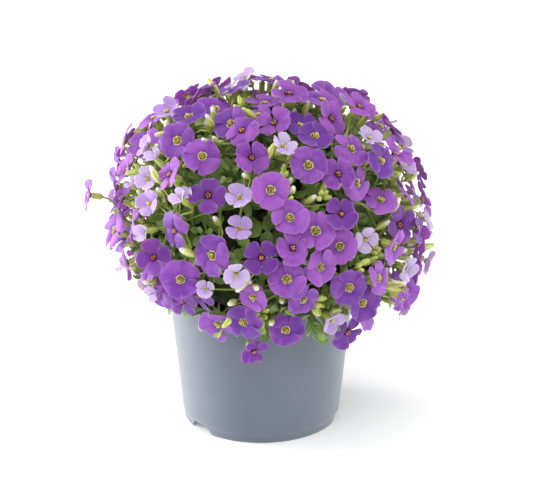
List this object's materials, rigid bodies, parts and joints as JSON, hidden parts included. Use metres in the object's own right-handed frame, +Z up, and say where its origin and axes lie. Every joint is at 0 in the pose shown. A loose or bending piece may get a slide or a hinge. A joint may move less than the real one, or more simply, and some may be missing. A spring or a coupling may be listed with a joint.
{
  "type": "potted aubrieta",
  "caption": "Domed, densely flowering rock cress with four-petalled violet blooms over small green leaves, standing in a tapered round plastic nursery pot.",
  "frame": {"origin": "on the pot's axis, on the surface that the pot stands on, in the middle of the object's box seen from above", "axes": "+Z up along the pot's axis, -Y towards the front of the plant as pictured, +X to the right of the picture"},
  "size_m": [0.2175, 0.2018, 0.223],
  "materials": {
    "pot_plastic": "satin",
    "potting_mix": "matte",
    "leaf_green": "matte",
    "petal_violet": "matte"
  },
  "bodies": {
    "root": {"flowering_spray_01": "petal_violet", "flowering_spray_02": "petal_violet", "flowering_spray_03": "petal_violet", "flowering_spray_04": "petal_violet", "flowering_spray_05": "petal_violet", "flowering_spray_06": "petal_violet", "flowering_spray_07": "petal_violet", "flowering_spray_08": "petal_violet", "flowering_spray_09": "petal_violet", "flowering_spray_10": "petal_violet", "flowering_spray_11": "petal_violet", "flowering_spray_12": "petal_violet", "flowering_spray_13": "petal_violet", "flowering_spray_14": "petal_violet", "flowering_spray_15": "petal_violet", "flowering_spray_16": "petal_violet", "flowering_spray_17": "petal_violet", "flowering_spray_18": "petal_violet", "flowering_spray_19": "petal_violet", "flowering_spray_20": "petal_violet", "flowering_spray_21": "petal_violet", "flowering_spray_22": "petal_violet", "flowering_spray_23": "petal_violet", "flowering_spray_24": "petal_violet", "flowering_spray_25": "petal_violet", "flowering_spray_26": "petal_violet", "flowering_spray_27": "petal_violet", "flowering_spray_28": "petal_violet", "flowering_spray_29": "petal_violet", "flowering_spray_30": "petal_violet", "flowering_spray_31": "petal_violet", "flowering_spray_32": "petal_violet", "flowering_spray_33": "petal_violet", "flowering_spray_34": "petal_violet", "flowering_spray_35": "petal_violet", "flowering_spray_36": "petal_violet", "flowering_spray_37": "petal_violet", "flowering_spray_38": "petal_violet", "flowering_spray_39": "petal_violet", "flowering_spray_40": "petal_violet", "leafy_crown": "leaf_green", "pot": "pot_plastic", "soil": "potting_mix"}
  },
  "joints": []
}
